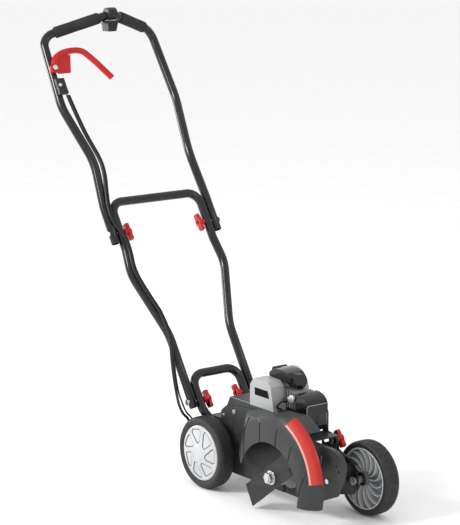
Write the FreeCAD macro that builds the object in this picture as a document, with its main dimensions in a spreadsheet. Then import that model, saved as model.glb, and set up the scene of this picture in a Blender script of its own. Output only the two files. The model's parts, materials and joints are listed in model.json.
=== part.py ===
import FreeCAD, Part
import Sketcher
import math
import os
import re

# Walk-behind lawn edger. Millimetres. X points forward, Y to the operator's left (port),
# Z up. The origin is on the ground, under the middle of the rear axle. The blade and its
# guard are on the starboard side (-Y), the single front wheel on the port side.

V = FreeCAD.Vector
DOWN_ANGLE = math.radians(57.9)          # the handle plane above the horizontal

SIZES = {
    "wheel_radius": 88.9, "rim_radius": 69.0, "front_rim_radius": 73.5, "tyre_width": 44.0,
    "axle_radius": 6.35, "running_gap": 0.05, "wheel_offset": 94.4,
    "tube_radius": 11.1, "tube_wall": 1.5, "bolt_radius": 4.0,
    "plate": 3.0, "deck_half": 52.0, "deck_top": 229.0,
    "blade_sweep": 114.3, "blade_width": 54.0, "blade_thick": 2.8, "blade_y": -107.5,
    "spindle_radius": 7.95, "bearing_radius": 16.0, "bearing_width": 10.0, "housing_radius": 22.0,
    "drive_groove": 18.0, "spindle_groove": 30.0, "belt_thick": 5.0, "belt_width": 8.0,
    "idler_radius": 18.0, "pulley_flange": 6.0,
    "guard_radius": 168.5, "guard_face": 126.0, "guard_wall": 3.0,
    "crank_radius": 6.0, "crankcase_radius": 34.0, "flywheel_radius": 44.0, "starter_radius": 50.0,
    "grip_radius": 15.0, "knob_radius": 11.0, "knob_stem": 9.0, "knob_wing": 10.0,
    "depth_knob_wing": 12.0,
    "clutch_cable": 3.5, "throttle_cable": 2.3,
}

doc = FreeCAD.newDocument("edger")
sheet = doc.addObject("Spreadsheet::Sheet", "sizes")
for row, (alias, value) in enumerate(SIZES.items(), 1):
    sheet.set("A%d" % row, alias)
    sheet.set("B%d" % row, str(value))
    sheet.setAlias("B%d" % row, alias)
doc.recompute()

WORDS = re.compile(r"\b(%s)\b" % "|".join(sorted(SIZES, key=len, reverse=True)))
NODES = []


def size(alias):
    return float(sheet.get(alias))


def cells(text):
    return WORDS.sub(r"sizes.\1", str(text))


def node(thing, label):
    thing.Label = label
    NODES.append(thing)
    return thing


# ---------------------------------------------------------------- building helpers

def sketch_in(body, role, suffix):
    plane = next(o for o in body.Origin.OriginFeatures if o.Role == role)
    sketch = body.newObject("Sketcher::SketchObject", body.Name + suffix)
    sketch.AttachmentSupport = [(plane, "")]
    sketch.MapMode = "FlatFace"
    return sketch


def bind_point(sketch, geometry, position, x, y):
    for kind, text in (("DistanceX", x), ("DistanceY", y)):
        index = sketch.addConstraint(Sketcher.Constraint(kind, -1, 1, geometry, position, 1.0))
        sketch.setExpression("Constraints[%d]" % index, cells(text))


def draw_loop(sketch, vertices):
    """A closed polygon whose vertices are cell expressions."""
    count = len(vertices)
    first = sketch.GeometryCount
    start = [V(math.cos(math.tau * i / count), math.sin(math.tau * i / count), 0) for i in range(count)]
    for i in range(count):
        sketch.addGeometry(Part.LineSegment(start[i], start[(i + 1) % count]), False)
    for i in range(count):
        after = first + (i + 1) % count
        sketch.addConstraint(Sketcher.Constraint("Coincident", first + i, 2, after, 1))
    for i, (x, y) in enumerate(vertices):
        bind_point(sketch, first + i, 1, x, y)


def draw_hole(sketch, x, y, radius):
    circle = sketch.addGeometry(Part.Circle(V(1, 1, 0), V(0, 0, 1), 1.0), False)
    bind_point(sketch, circle, 3, x, y)
    index = sketch.addConstraint(Sketcher.Constraint("Radius", circle, 1.0))
    sketch.setExpression("Constraints[%d]" % index, cells(radius))


def turned(name, profile, at=(0, 0, 0)):
    """A PartDesign body turned about the Y line through AT; PROFILE is (radius, y) pairs."""
    body = doc.addObject("PartDesign::Body", name)
    sketch = sketch_in(body, "XY_Plane", "_profile")
    draw_loop(sketch, profile)
    doc.recompute()
    turn = body.newObject("PartDesign::Revolution", name + "_turn")
    turn.Profile = sketch
    turn.ReferenceAxis = (sketch, ["V_Axis"])
    turn.Angle = 360
    body.Placement = FreeCAD.Placement(V(*at), FreeCAD.Rotation())
    doc.recompute()
    return body


def ring(name, inner, outer, low, high, at=(0, 0, 0)):
    return turned(name, [(inner, low), (outer, low), (outer, high), (inner, high)], at)


def plate(name, outline, thick, top_y, holes=(), windows=()):
    """A sheet in the XZ plane, from y = TOP_Y towards -Y, with round HOLES and WINDOWS."""
    body = doc.addObject("PartDesign::Body", name)
    sketch = sketch_in(body, "XZ_Plane", "_outline")
    draw_loop(sketch, outline)
    for window in windows:
        draw_loop(sketch, window)
    for x, z, radius in holes:
        draw_hole(sketch, x, z, radius)
    doc.recompute()
    pad = body.newObject("PartDesign::Pad", name + "_pad")
    pad.Profile = sketch
    pad.setExpression("Length", cells(thick))
    body.Placement = FreeCAD.Placement(V(0, top_y, 0), FreeCAD.Rotation())
    doc.recompute()
    return body


TO_Y = FreeCAD.Rotation(V(1, 0, 0), -90)


def rod(name, at, radius, length, turn=TO_Y):
    thing = doc.addObject("Part::Cylinder", name)
    thing.setExpression("Radius", cells(radius))
    thing.setExpression("Height", cells(length))
    thing.Placement = FreeCAD.Placement(V(*at), turn)
    return thing


def block(name, at, length, width, height, turn=FreeCAD.Rotation()):
    thing = doc.addObject("Part::Box", name)
    for prop, text in (("Length", length), ("Width", width), ("Height", height)):
        thing.setExpression(prop, cells(text))
    thing.Placement = FreeCAD.Placement(V(*at), turn)
    return thing


def fused(name, things):
    whole = doc.addObject("Part::MultiFuse", name)
    whole.Shapes = things
    doc.recompute()
    return whole


def group(name, things):
    whole = doc.addObject("Part::Compound", name)
    whole.Links = things
    doc.recompute()
    return whole


def less(name, base, tool):
    whole = doc.addObject("Part::Cut", name)
    whole.Base = base
    whole.Tool = tool
    doc.recompute()
    return whole


def shaped(name, shape):
    thing = doc.addObject("Part::Feature", name)
    thing.Shape = shape
    return thing


def bent_path(points, radius_at):
    """Straight runs joined by tangent arcs; RADIUS_AT(i, turn, shorter run) gives each arc."""
    edges = []
    start = points[0]
    for i in range(1, len(points) - 1):
        before, here, after = points[i - 1], points[i], points[i + 1]
        into, out = (here - before).normalize(), (after - here).normalize()
        turn = into.getAngle(out)
        shorter = min((here - before).Length, (after - here).Length)
        radius = radius_at(i, turn, shorter)
        cut = radius * math.tan(turn / 2)
        first, last = here - into * cut, here + out * cut
        inward = (out - into).normalize()
        middle = here + inward * (radius / math.cos(turn / 2) - radius)
        if (first - start).Length > 1e-6:
            edges.append(Part.LineSegment(start, first).toShape())
        edges.append(Part.Arc(first, middle, last).toShape())
        start = last
    edges.append(Part.LineSegment(start, points[-1]).toShape())
    return Part.Wire(edges)


def swept(path, radius):
    first = path.Edges[0]
    begin = first.valueAt(first.FirstParameter)
    along = first.tangentAt(first.FirstParameter)
    section = Part.Wire(Part.Circle(begin, along, radius).toShape())
    solid = path.makePipeShell([section], True, False)
    wanted = math.pi * radius * radius * path.Length
    if abs(solid.Volume - wanted) > 0.02 * wanted:
        raise RuntimeError("a swept solid has the wrong volume")
    return solid


def bent_tube(points, bend):
    """A hollow tube with the frame tube's section and bends of radius BEND."""
    path = bent_path(points, lambda i, turn, shorter: bend[i - 1])
    outer = swept(path, size("tube_radius"))
    return outer.cut(swept(path, size("tube_radius") - size("tube_wall")))


def cord(points, radius):
    """A cable's solid: each arc is as large as its two runs allow."""
    radii = []

    def arc(i, turn, shorter):
        radii.append(0.45 * shorter / math.tan(turn / 2))
        return radii[-1]
    path = bent_path(points, arc)
    print("cord of", round(path.Length), "mm, bend radii", [round(r, 1) for r in radii])
    return swept(path, radius)


def y_hole(x, z, radius, low, high):
    return Part.makeCylinder(radius, high - low, V(x, low, z), V(0, 1, 0))


# ---------------------------------------------------------------- reference geometry

FOLD_LOW = V(-62, 0, 201)                       # where the middle handle folds
ALONG = V(-math.cos(DOWN_ANGLE), 0, math.sin(DOWN_ANGLE))
NORMAL = V(math.sin(DOWN_ANGLE), 0, math.cos(DOWN_ANGLE))
FOLD_HIGH_AT = 458.7                            # distance up the handle to the upper fold
FOLD_HIGH = FOLD_LOW + ALONG * FOLD_HIGH_AT

SPINDLE = (275.0, 94.5)                         # x, z of the blade spindle
GUARD_CENTRE = (271.0, 94.5)                    # x, z of the axis the guard's rim is turned about
CRANK = (152.0, 263.0)                          # x, z of the engine's crankshaft
AXLE_Z = size("wheel_radius")
FRONT_AXLE_X = 396.4
FRONT_WHEEL_Y = 83.0
ARM_PIVOT = (320.0, 112.0)                      # x, z of the front wheel arm's pivot
DEPTH_STUD = (321.0, 170.0)                     # x, z of the depth knob's stud
BELT_Y = -33.0
LOWER_LEG = 70.5
FOOT_LEG = 58.5
LEG_BOLT = FOLD_LOW - ALONG * 76
MIDDLE_LEG = 93.2
MIDDLE_TOP_LEG = 135.0
UPPER_LEG = 157.3
BASE_Y = -size("deck_half")                     # outer face of the deck's starboard plate


def on_handle(along, y, off=0.0):
    return FOLD_LOW + ALONG * along + V(0, y, 0) + NORMAL * off


def up_handle_block(name, along, y, off, length, width, height):
    """A block set square to the handle: LENGTH up it, WIDTH across it, HEIGHT off it."""
    matrix = FreeCAD.Matrix(ALONG.x, 0, NORMAL.x, 0, ALONG.y, 1, NORMAL.y, 0, ALONG.z, 0, NORMAL.z, 0)
    thing = Part.makeBox(length, width, height).transformGeometry(matrix)
    thing.translate(on_handle(along, y, off))
    return thing


# ---------------------------------------------------------------- deck

def make_deck():
    side_outline = [(5, 96), (5, 190), (25, 205), (37, "deck_top"), (262, "deck_top"), (292, 200),
                    (336, 188), (381, 186), (417, 186), (437, 182), (452, 173), (462, 158),
                    (463, 146), (456, 116), (440, 87), (436, 76), (387, 54), (340, 41), (42, 41),
                    (14, 62)]
    holes = [(SPINDLE[0], SPINDLE[1], "housing_radius + 0.1"), (436, 150, 4), (446, 138, 4),
             (*ARM_PIVOT, 8)]
    slot = [(382, 141), (389, 141), (389, 162), (382, 162)]
    web = plate("deck_web", side_outline, "plate", BASE_Y + size("plate"), holes, [slot])
    lip_face = Part.Face(Part.makePolygon([V(*p) for p in outline_points(side_outline)]))
    lip = lip_face.cut(lip_face.makeOffset2D(-size("plate"))).extrude(V(0, 9, 0))
    lip.translate(V(0, BASE_Y + size("plate"), 0))
    top = block("deck_roof", (37, BASE_Y, size("deck_top") - size("plate")), 221, "2*deck_half", "plate")
    belt_gap = block("belt_gap", (122, -46, size("deck_top") - 5), 96, 26, 10)
    roof = less("deck_roof_cut", top, belt_gap)
    port = plate("deck_port", [(5, 96), (5, 190), (25, 205), (37, "deck_top"), (190, "deck_top"),
                               (190, 150), (60, 80), (14, 62)], "plate", size("deck_half"))
    across = block("deck_cross", (288, BASE_Y, 184), 56, "deck_half + 36", "plate")
    bracket = plate("depth_bracket", [(283, 92), (283, 184), (288, 190), (288, 236), (305, 236), (305, 190),
                                      (328, 186), (336, 178), (338, 128), (332, 92)],
                    "plate", 36, [(*ARM_PIVOT, 8)])
    rear = [block("rear_left", (-48, 44, 66), 90, "plate", 99),
            block("rear_right", (-48, -47, 66), 90, "plate", 99),
            block("rear_back", (-48, -47, 120), "plate", 94, 45),
            block("rear_roof", (-48, -47, 162), 53.2, 94, "plate"),
            block("rear_tie", (5, BASE_Y, 162), 27, "2*deck_half", "plate"),
            rod("sleeve_right", (0, -69.5, AXLE_Z), 10, 24), rod("sleeve_left", (0, 45.5, AXLE_Z), 10, 24)]
    whole = fused("deck_blank", [web, shaped("deck_lip", lip), roof, port, across, bracket, *rear])
    ways = [rod("axle_way", (0, -80, AXLE_Z), "axle_radius", 160),
            rod("starter_way", (CRANK[0], 31, CRANK[1]), "starter_radius + 2", 40),
            shaped("depth_slot", stud_slot())]
    for side in (-1, 1):
        ways.append(rod("leg_way", (LEG_BOLT.x, side * 45.5 - 5, LEG_BOLT.z), "bolt_radius", 10))
    node(less("deck_frame_cut", whole, fused("deck_ways", ways)), "deck_frame")


def outline_points(outline):
    numbers = [(x, size(z) if isinstance(z, str) else z) for x, z in outline]
    return [(x, 0, z) for x, z in numbers + numbers[:1]]


def make_spindle():
    x, z = SPINDLE
    at = (x, 0, z)
    node(turned("housing_turned", [("bearing_radius", -98), ("housing_radius", -98),
                                   ("housing_radius", -58), (35, -58), (35, -52.05),
                                   ("housing_radius", -52.05), ("housing_radius", -45),
                                   ("bearing_radius", -45)], at), "spindle_housing")
    rings = [ring("bearing_%d" % i, "spindle_radius + running_gap", "bearing_radius", low,
                  "%g + bearing_width" % low, at) for i, low in enumerate((-97, -57))]
    node(group("bearings", rings), "spindle_bearings")
    node(turned("spindle_turned", [(0, "blade_y - 19"), ("spindle_radius", "blade_y - 19"),
                                   ("spindle_radius", "blade_y"), (18, "blade_y"), (18, "blade_y + 8"),
                                   ("spindle_radius", "blade_y + 8"), ("spindle_radius", -24),
                                   (0, -24)], at), "blade_spindle")
    node(pulley("spindle_wheel", "spindle_groove", "spindle_radius", at), "spindle_pulley")
    nut = doc.addObject("Part::Prism", "nut_hex")
    nut.Polygon = 6
    nut.Circumradius = 13.8
    nut.Height = 10
    nut_face = size("blade_y") - 17
    nut.Placement = FreeCAD.Placement(V(x, nut_face, z), TO_Y)
    washer = ring("nut_washer", "spindle_radius", 17, "blade_y - 7", "blade_y - blade_thick", at)
    solid_nut = fused("nut_blank", [nut, washer])
    node(less("nut_cut", solid_nut, rod("nut_bore", (x, nut_face - 4, z), "spindle_radius", 30)),
         "blade_nut")
    node(make_blade(), "blade")


def pulley(name, groove, bore, at):
    """A grooved pulley on the belt's plane, its groove 1.2 mm wider than the belt."""
    low, high = BELT_Y - size("belt_width") / 2, BELT_Y + size("belt_width") / 2
    return turned(name, [(bore, low - 2.5), ("%s + pulley_flange" % groove, low - 2.5),
                         ("%s + pulley_flange" % groove, low - 0.6), (groove, low - 0.6),
                         (groove, high + 0.6), ("%s + pulley_flange" % groove, high + 0.6),
                         ("%s + pulley_flange" % groove, high + 2.5), (bore, high + 2.5)], at)


BLADE_TURN = 217.0                              # the resting blade points back and down


def make_blade():
    """A flat bar with skew-cut ends and a ground pocket beside each end's trailing corner."""
    wide, thick = size("blade_width") / 2, size("blade_thick")
    reach = math.sqrt(size("blade_sweep") ** 2 - wide ** 2)
    set_back = 7.0
    end = [(reach, wide), (reach - set_back, -wide)]
    bar = plate("blade_bar", end + [(-x, -z) for x, z in end], "blade_thick", 0,
                [(0, 0, "spindle_radius + running_gap")])
    pocket_x, pocket_long, pocket_wide = reach - set_back - 8, 24.0, 17.0
    pockets = []
    for side in (1, -1):
        corner = V(pocket_x - pocket_long, -1.5 * thick, -wide)
        pocket = Part.makeBox(pocket_long, thick, pocket_wide, corner)
        if side < 0:
            pocket.rotate(V(0, 0, 0), V(0, 1, 0), 180)
        pockets.append(pocket)
    blade = less("blade_cut", bar, shaped("blade_pockets", Part.makeCompound(pockets)))
    turn = FreeCAD.Rotation(V(0, 1, 0), -BLADE_TURN)
    blade.Placement = FreeCAD.Placement(V(SPINDLE[0], size("blade_y"), SPINDLE[1]), turn)
    doc.recompute()
    return blade


# ---------------------------------------------------------------- guard

def guard_envelope(inset):
    """The guard's outer form, INSET millimetres inside its surface."""
    radius, face = size("guard_radius") - inset, size("guard_face") - inset
    corner = [(0, -face), (128, -face), (151, 8 - face), (165, 22 - face), (radius, 31 - face),
              (radius, BASE_Y - 0.05), (0, BASE_Y - 0.05)]
    profile = Part.Face(Part.makePolygon([V(r, y, 0) for r, y in corner + corner[:1]]))
    dome = profile.revolve(V(0, 0, 0), V(0, 1, 0), 360)
    dome.translate(V(GUARD_CENTRE[0], 0, GUARD_CENTRE[1]))
    inner_y = BASE_Y - 0.05
    levels = []
    for z, fold, edge in ((50, 50, 165), (252, 122, 200)):
        plan = [(edge + inset, -face), (460, -face), (460, inner_y), (fold + inset, inner_y)]
        levels.append(Part.makePolygon([V(x, y, z) for x, y in plan + plan[:1]]))
    ramp = Part.makeLoft(levels, True, True)
    floor, top = 52 - 3 * inset, size("deck_top") - 0.1 - inset
    side = [(30, floor), (470, floor), (470, top + 20), (340, top + 20), (262, top + 14), (226, top),
            (30, top)]
    side = Part.Face(Part.makePolygon([V(x, -150, z) for x, z in side + side[:1]]))
    return dome.common(ramp).common(side.extrude(V(0, 150 + inner_y, 0)))


ARCH = (281.0, 74.0, 107.5)                     # x, z and radius of the blade opening
RIM_EDGE = 88.0                                 # the rim's inboard edge in front of the arch
GROOVE_WIDE, GROOVE_DEEP = 4.2, 1.9
# the pressed grooves that fan out from the arch, as (angle, radius) pairs about its centre
RADIAL_GROOVES = [[(153, 104), (129, 146), (118, 170)], [(108, 104), (102, 152)], [(76, 104), (78, 148)],
                  [(47, 104), (54, 142)], [(-6, 104), (28, 153)]]
BASE_GROOVES = [[(65, 198), (33, 84)], [(93, 174), (61, 96), (73, 80)]]


def groove_tool(points, low, high):
    """Straight cuts of the groove's width between POINTS (x, z), rounded where they meet."""
    tool = None
    for (x1, z1), (x2, z2) in zip(points, points[1:]):
        length = math.hypot(x2 - x1, z2 - z1)
        cut = Part.makeBox(length, high - low, GROOVE_WIDE, V(0, low, -GROOVE_WIDE / 2))
        cut.rotate(V(0, 0, 0), V(0, 1, 0), -math.degrees(math.atan2(z2 - z1, x2 - x1)))
        cut.translate(V(x1, 0, z1))
        cut = cut.fuse(y_hole(x2, z2, GROOVE_WIDE / 2, low, high))
        tool = cut if tool is None else tool.fuse(cut)
    return tool


def make_guard():
    wall = size("guard_wall")
    outer = guard_envelope(0)
    skin = outer.cut(guard_envelope(wall))
    base = [(5.5, 104), (5.5, 189), (24, 204), (70, 213), (178, 222), (250, 222), (250, 41.5), (42, 41.5),
            (15, 64), (13, 84)]
    flat = Part.Face(Part.makePolygon([V(x, BASE_Y - 0.05, z) for x, z in base + base[:1]]))
    flat = flat.extrude(V(0, -wall, 0))
    arch_x, arch_z, arch_r = ARCH
    behind = BASE_Y - wall - 0.05
    opening = y_hole(arch_x, arch_z, arch_r, -140, behind)
    below = Part.makeBox(2 * arch_r - 6, 90, arch_z, V(arch_x - arch_r, behind - 90, 0))
    rear_foot = Part.makeBox(200, 90, 108, V(0, behind - 90, 0))
    front_back = Part.makeBox(160, 60, 220, V(312, -RIM_EDGE, 0))
    whole = skin.cut(opening).cut(below).cut(rear_foot).cut(front_back).fuse(flat)
    shell = outer.cut(guard_envelope(GROOVE_DEEP))
    for route in RADIAL_GROOVES:
        points = [(arch_x + r * math.cos(math.radians(a)), arch_z + r * math.sin(math.radians(a)))
                  for a, r in route]
        whole = whole.cut(shell.common(groove_tool(points, -140, behind - 1)))
    for points in BASE_GROOVES:
        whole = whole.cut(groove_tool(points, behind - 2, behind + GROOVE_DEEP / 2))
    housing_way = y_hole(*SPINDLE, 36.5, -60, -50)
    whole = whole.cut(housing_way).removeSplitter()
    node(shaped("guard_shape", whole), "blade_guard")
    stripe_wedge = wedge(GUARD_CENTRE, 7, 66, 200).extrude(V(0, 28, 0))
    stripe_wedge.translate(V(0, -118, 0))
    stripe = guard_envelope(-0.9).cut(guard_envelope(-0.05)).common(stripe_wedge)
    node(shaped("stripe_shape", stripe), "guard_stripe")


def wedge(centre, low, high, radius):
    """A flat sector in the XZ plane between two angles above +X."""
    x, z = centre
    corners = [V(x, 0, z)]
    for angle in (low, (low + high) / 2, high):
        turn = math.radians(angle)
        corners.append(V(x + radius * math.cos(turn), 0, z + radius * math.sin(turn)))
    return Part.Face(Part.makePolygon(corners + corners[:1]))


# ---------------------------------------------------------------- belt drive

def belt_loop(extra):
    """The outline round both pulleys, EXTRA outside the bottoms of their grooves."""
    (x1, z1), (x2, z2) = CRANK, SPINDLE
    r1, r2 = size("drive_groove") + extra, size("spindle_groove") + extra
    reach = math.hypot(x2 - x1, z2 - z1)
    heading = math.atan2(z2 - z1, x2 - x1)
    tilt = math.acos((r1 - r2) / reach)

    def point(x, z, r, angle):
        return V(x + r * math.cos(angle), 0, z + r * math.sin(angle))
    low1, high1 = point(x1, z1, r1, heading + tilt), point(x1, z1, r1, heading - tilt)
    low2, high2 = point(x2, z2, r2, heading + tilt), point(x2, z2, r2, heading - tilt)
    back, front = point(x1, z1, r1, heading + math.pi), point(x2, z2, r2, heading)
    edges = [Part.LineSegment(low1, low2).toShape(), Part.Arc(low2, front, high2).toShape(),
             Part.LineSegment(high2, high1).toShape(), Part.Arc(high1, back, low1).toShape()]
    return Part.Face(Part.Wire(edges)), (high1, high2)


def make_belt_drive():
    inner, _ = belt_loop(0.4)
    outer, _ = belt_loop(0.4 + size("belt_thick"))
    loop = outer.cut(inner).extrude(V(0, size("belt_width"), 0))
    loop.translate(V(0, BELT_Y - size("belt_width") / 2, 0))
    node(shaped("belt_shape", loop), "drive_belt")
    _, (top, bottom) = belt_loop(0.4 + size("belt_thick"))
    run = (bottom - top).normalize()
    outward = V(-run.z, 0, run.x) if V(-run.z, 0, run.x).x < 0 else V(run.z, 0, -run.x)
    slack = 5.0
    centre = top + (bottom - top) * 0.62 + outward * (size("idler_radius") + slack)
    pivot = centre - run * 55
    tail = pivot - run * 24 + outward * 14
    arm_y = BELT_Y - size("belt_width") / 2 - 7
    strap = [(pivot, centre), (pivot, tail)]
    arm = None
    for begin, end in strap:
        side = (end - begin).normalize()
        cross = V(-side.z, 0, side.x) * 8
        corners = [begin + cross, end + cross, end - cross, begin - cross]
        bar = Part.Face(Part.makePolygon(corners + corners[:1])).extrude(V(0, 3, 0))
        arm = bar if arm is None else arm.fuse(bar)
    for spot in (pivot, centre, tail):
        arm = arm.fuse(y_hole(spot.x, spot.z, 8, 0, 3))
    arm.translate(V(0, arm_y, 0))
    arm = arm.cut(y_hole(pivot.x, pivot.z, 5.05, -60, 0))
    pin = y_hole(centre.x, centre.z, 4, arm_y + 3, BELT_Y + 6)
    node(shaped("arm_shape", arm.fuse(pin).removeSplitter()), "idler_arm")
    node(ring("idler_ring", "4 + running_gap", "idler_radius", BELT_Y - 5, BELT_Y + 5,
              (centre.x, 0, centre.z)), "idler_pulley")
    return pivot, tail


# ---------------------------------------------------------------- engine

def hollow(outline, low, high, wall, open_side):
    """A box-like cover: OUTLINE in XZ, from y = LOW to HIGH, open on one side."""
    face = Part.Face(Part.makePolygon([V(x, low, z) for x, z in outline + outline[:1]]))
    solid = face.extrude(V(0, high - low, 0))
    inner = face.makeOffset2D(-wall).extrude(V(0, high - low - (wall if open_side else 2 * wall), 0))
    inner.translate(V(0, 0 if open_side == "starboard" else wall, 0))
    return solid.cut(inner), solid


def make_engine():
    x, z = CRANK
    at = (x, 0, z)
    case = turned("case_turned", [("crank_radius + running_gap", -17), ("crankcase_radius", -17),
                                  ("crankcase_radius", 33), ("crank_radius + running_gap", 33),
                                  ("crank_radius + running_gap", 29), ("crankcase_radius - 5", 29),
                                  ("crankcase_radius - 5", -12), ("crank_radius + running_gap", -12)], at)
    foot = less("case_foot", block("foot_block", (127, -17, size("deck_top") + 0.05), 50, 50, 16),
                rod("foot_way", (x, -20, z), "crankcase_radius - 2", 60))
    node(fused("case_whole", [case, foot]), "engine_crankcase")
    core = [block("barrel", (181, -12, 242), 79, 40, 32)]
    core += [block("fin_%d" % i, (196 + 9 * i, -17, 235), 3, 50, 43) for i in range(7)]
    cylinder = fused("cylinder_whole", core)
    node(less("cylinder_cut", cylinder, rod("cylinder_way", (x, -30, z), "crankcase_radius + 0.05", 80)),
         "engine_cylinder")
    node(crankshaft(at), "crankshaft")
    node(pulley("drive_wheel", "drive_groove", "crank_radius", at), "drive_pulley")
    node(ring("flywheel_ring", "crank_radius", "flywheel_radius", 37, 45, at), "flywheel")
    cup = turned("starter_cup", [("starter_radius - 2.5", 33.5), ("starter_radius", 33.5),
                                 ("starter_radius", 60), ("starter_radius - 8", 66), (0, 66), (0, 63),
                                 ("starter_radius - 9", 63), ("starter_radius - 2.5", 58)], at)
    rope_way = rod("rope_way", tuple(ROPE_START), 3.0, 90, FreeCAD.Rotation(V(0, 0, 1), ALONG))
    node(less("starter_cut", cup, rope_way), "starter_housing")
    make_covers()


def crankshaft(at):
    return turned("crank_turned", [(0, -41), ("crank_radius", -41), ("crank_radius", -9),
                                   (22, -9), (22, 26), ("crank_radius", 26), ("crank_radius", 56),
                                   (0, 56)], at)


ROPE_START = V(CRANK[0], 55, CRANK[1]) - NORMAL * 30 - ALONG * 22


TANK_NECK = (217.0, 205.0)                      # x, z of the fuel filler


def make_covers():
    top = size("deck_top") + 0.05
    shroud_outline = [(123, top), (214, top), (202, 286), (190, 297), (138, 297), (123, 280)]
    shroud, _ = hollow(shroud_outline, -57, -18, 2.5, "port")
    belt_way = Part.makeBox(85, 36, 10, V(126, -54.5, top - 2))
    node(shaped("shroud_shape", shroud.cut(belt_way)), "engine_shroud")
    cover_outline = [(143, 297.6), (226, 297.6), (224, 307), (212, 316), (196, 320), (172, 320), (155, 315),
                     (145, 307)]
    cover, _ = hollow(cover_outline, -16, 32, 2.5, "")
    knob = Part.makeCylinder(18.5, 30, V(208, 7, 298), V(1, 0, 0)).cut(
        Part.makeCylinder(16, 27, V(208, 7, 298), V(1, 0, 0)))
    node(shaped("cover_shape", cover.fuse(knob).removeSplitter()), "air_filter_cover")
    node(block("muffler_box", (260.05, -22, 212), 32, 46, 54), "muffler")
    guard_outline = [(262.5, 200), (306, 196), (306, 258), (300, 268), (290, 275), (276, 279), (262.5, 280)]
    heat_guard, _ = hollow(guard_outline, -32, 32.5, 2.0, "")
    back = Part.makeBox(6, 60.4, 84, V(260, -30, 203))
    node(shaped("heat_guard_shape", heat_guard.cut(back)), "muffler_guard")
    tank, _ = hollow([(194, 180), (232, 176), (240, 186), (240, 232), (232, 243), (212, 243), (200, 226),
                      (194, 212)], 54, 82, 2.5, "")
    neck = y_hole(*TANK_NECK, 11, 80, 90).cut(y_hole(*TANK_NECK, 9, 79, 91))
    node(shaped("tank_shape", tank.cut(y_hole(*TANK_NECK, 9, 79, 95)).fuse(neck)), "fuel_tank")
    node(turned("cap_turned", [("11 + running_gap", 83), (17, 83), (17, 96), (0, 96), (0, 90.2),
                               ("11 + running_gap", 90.2)], (TANK_NECK[0], 0, TANK_NECK[1])), "fuel_cap")
    node(fused("plug_whole", [rod("plug_body", (240, -40, 262), 5, 22.95),
                              rod("plug_hex", (240, -26, 262), 9, 4)]), "spark_plug")
    lead = cord([V(240, -44, 262), V(240, -53, 262), V(231, -57, 252), V(221, -53, 243), V(219, -44, 236),
                 V(217.5, -36, 233.5)], 2.6)
    boot = Part.makeCone(7, 4.5, 12, V(240, -40.05, 262), V(0, -1, 0))
    node(shaped("lead_shape", boot.fuse(lead)), "spark_plug_lead")
    rope = Part.makeCylinder(1.6, 66, ROPE_START + ALONG * 8, ALONG)
    bar_at = ROPE_START + ALONG * 78
    bar = Part.makeCylinder(8, 38, V(bar_at.x, 36, bar_at.z), V(0, 1, 0))
    node(shaped("starter_pull", bar.fuse(rope).removeSplitter()), "starter_grip")


# ---------------------------------------------------------------- wheels

def wheel(name, x, y, rim, outer_sign):
    """A moulded wheel: tyre and hub. The hub's web stands near its OUTER_SIGN face."""
    at = (x, y, AXLE_Z)
    node(turned(name + "_tyre", [
        (rim, "-tyre_width/2 + 2"), ("wheel_radius - 9", "-tyre_width/2"),
        ("wheel_radius - 2.6", "-tyre_width/2 + 4"), ("wheel_radius", "-tyre_width/2 + 11"),
        ("wheel_radius", "tyre_width/2 - 11"), ("wheel_radius - 2.6", "tyre_width/2 - 4"),
        ("wheel_radius - 9", "tyre_width/2"), (rim, "tyre_width/2 - 2")], at), "tyre_" + name)
    web = 14.0 * outer_sign
    low, high = sorted((web, web + 3.0 * outer_sign))
    bore, gone = "axle_radius + running_gap", "%s - 3" % rim
    node(turned(name + "_hub", [
        (bore, "-tyre_width/2 - 1.5"), (15, "-tyre_width/2 - 1.5"), (15, low), (gone, low),
        (gone, "-tyre_width/2 + 3"), (rim, "-tyre_width/2 + 3"), (rim, "tyre_width/2 - 3"),
        (gone, "tyre_width/2 - 3"), (gone, high), (15, high), (15, "tyre_width/2 + 1.5"),
        (bore, "tyre_width/2 + 1.5")], at), "hub_" + name)


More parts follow.
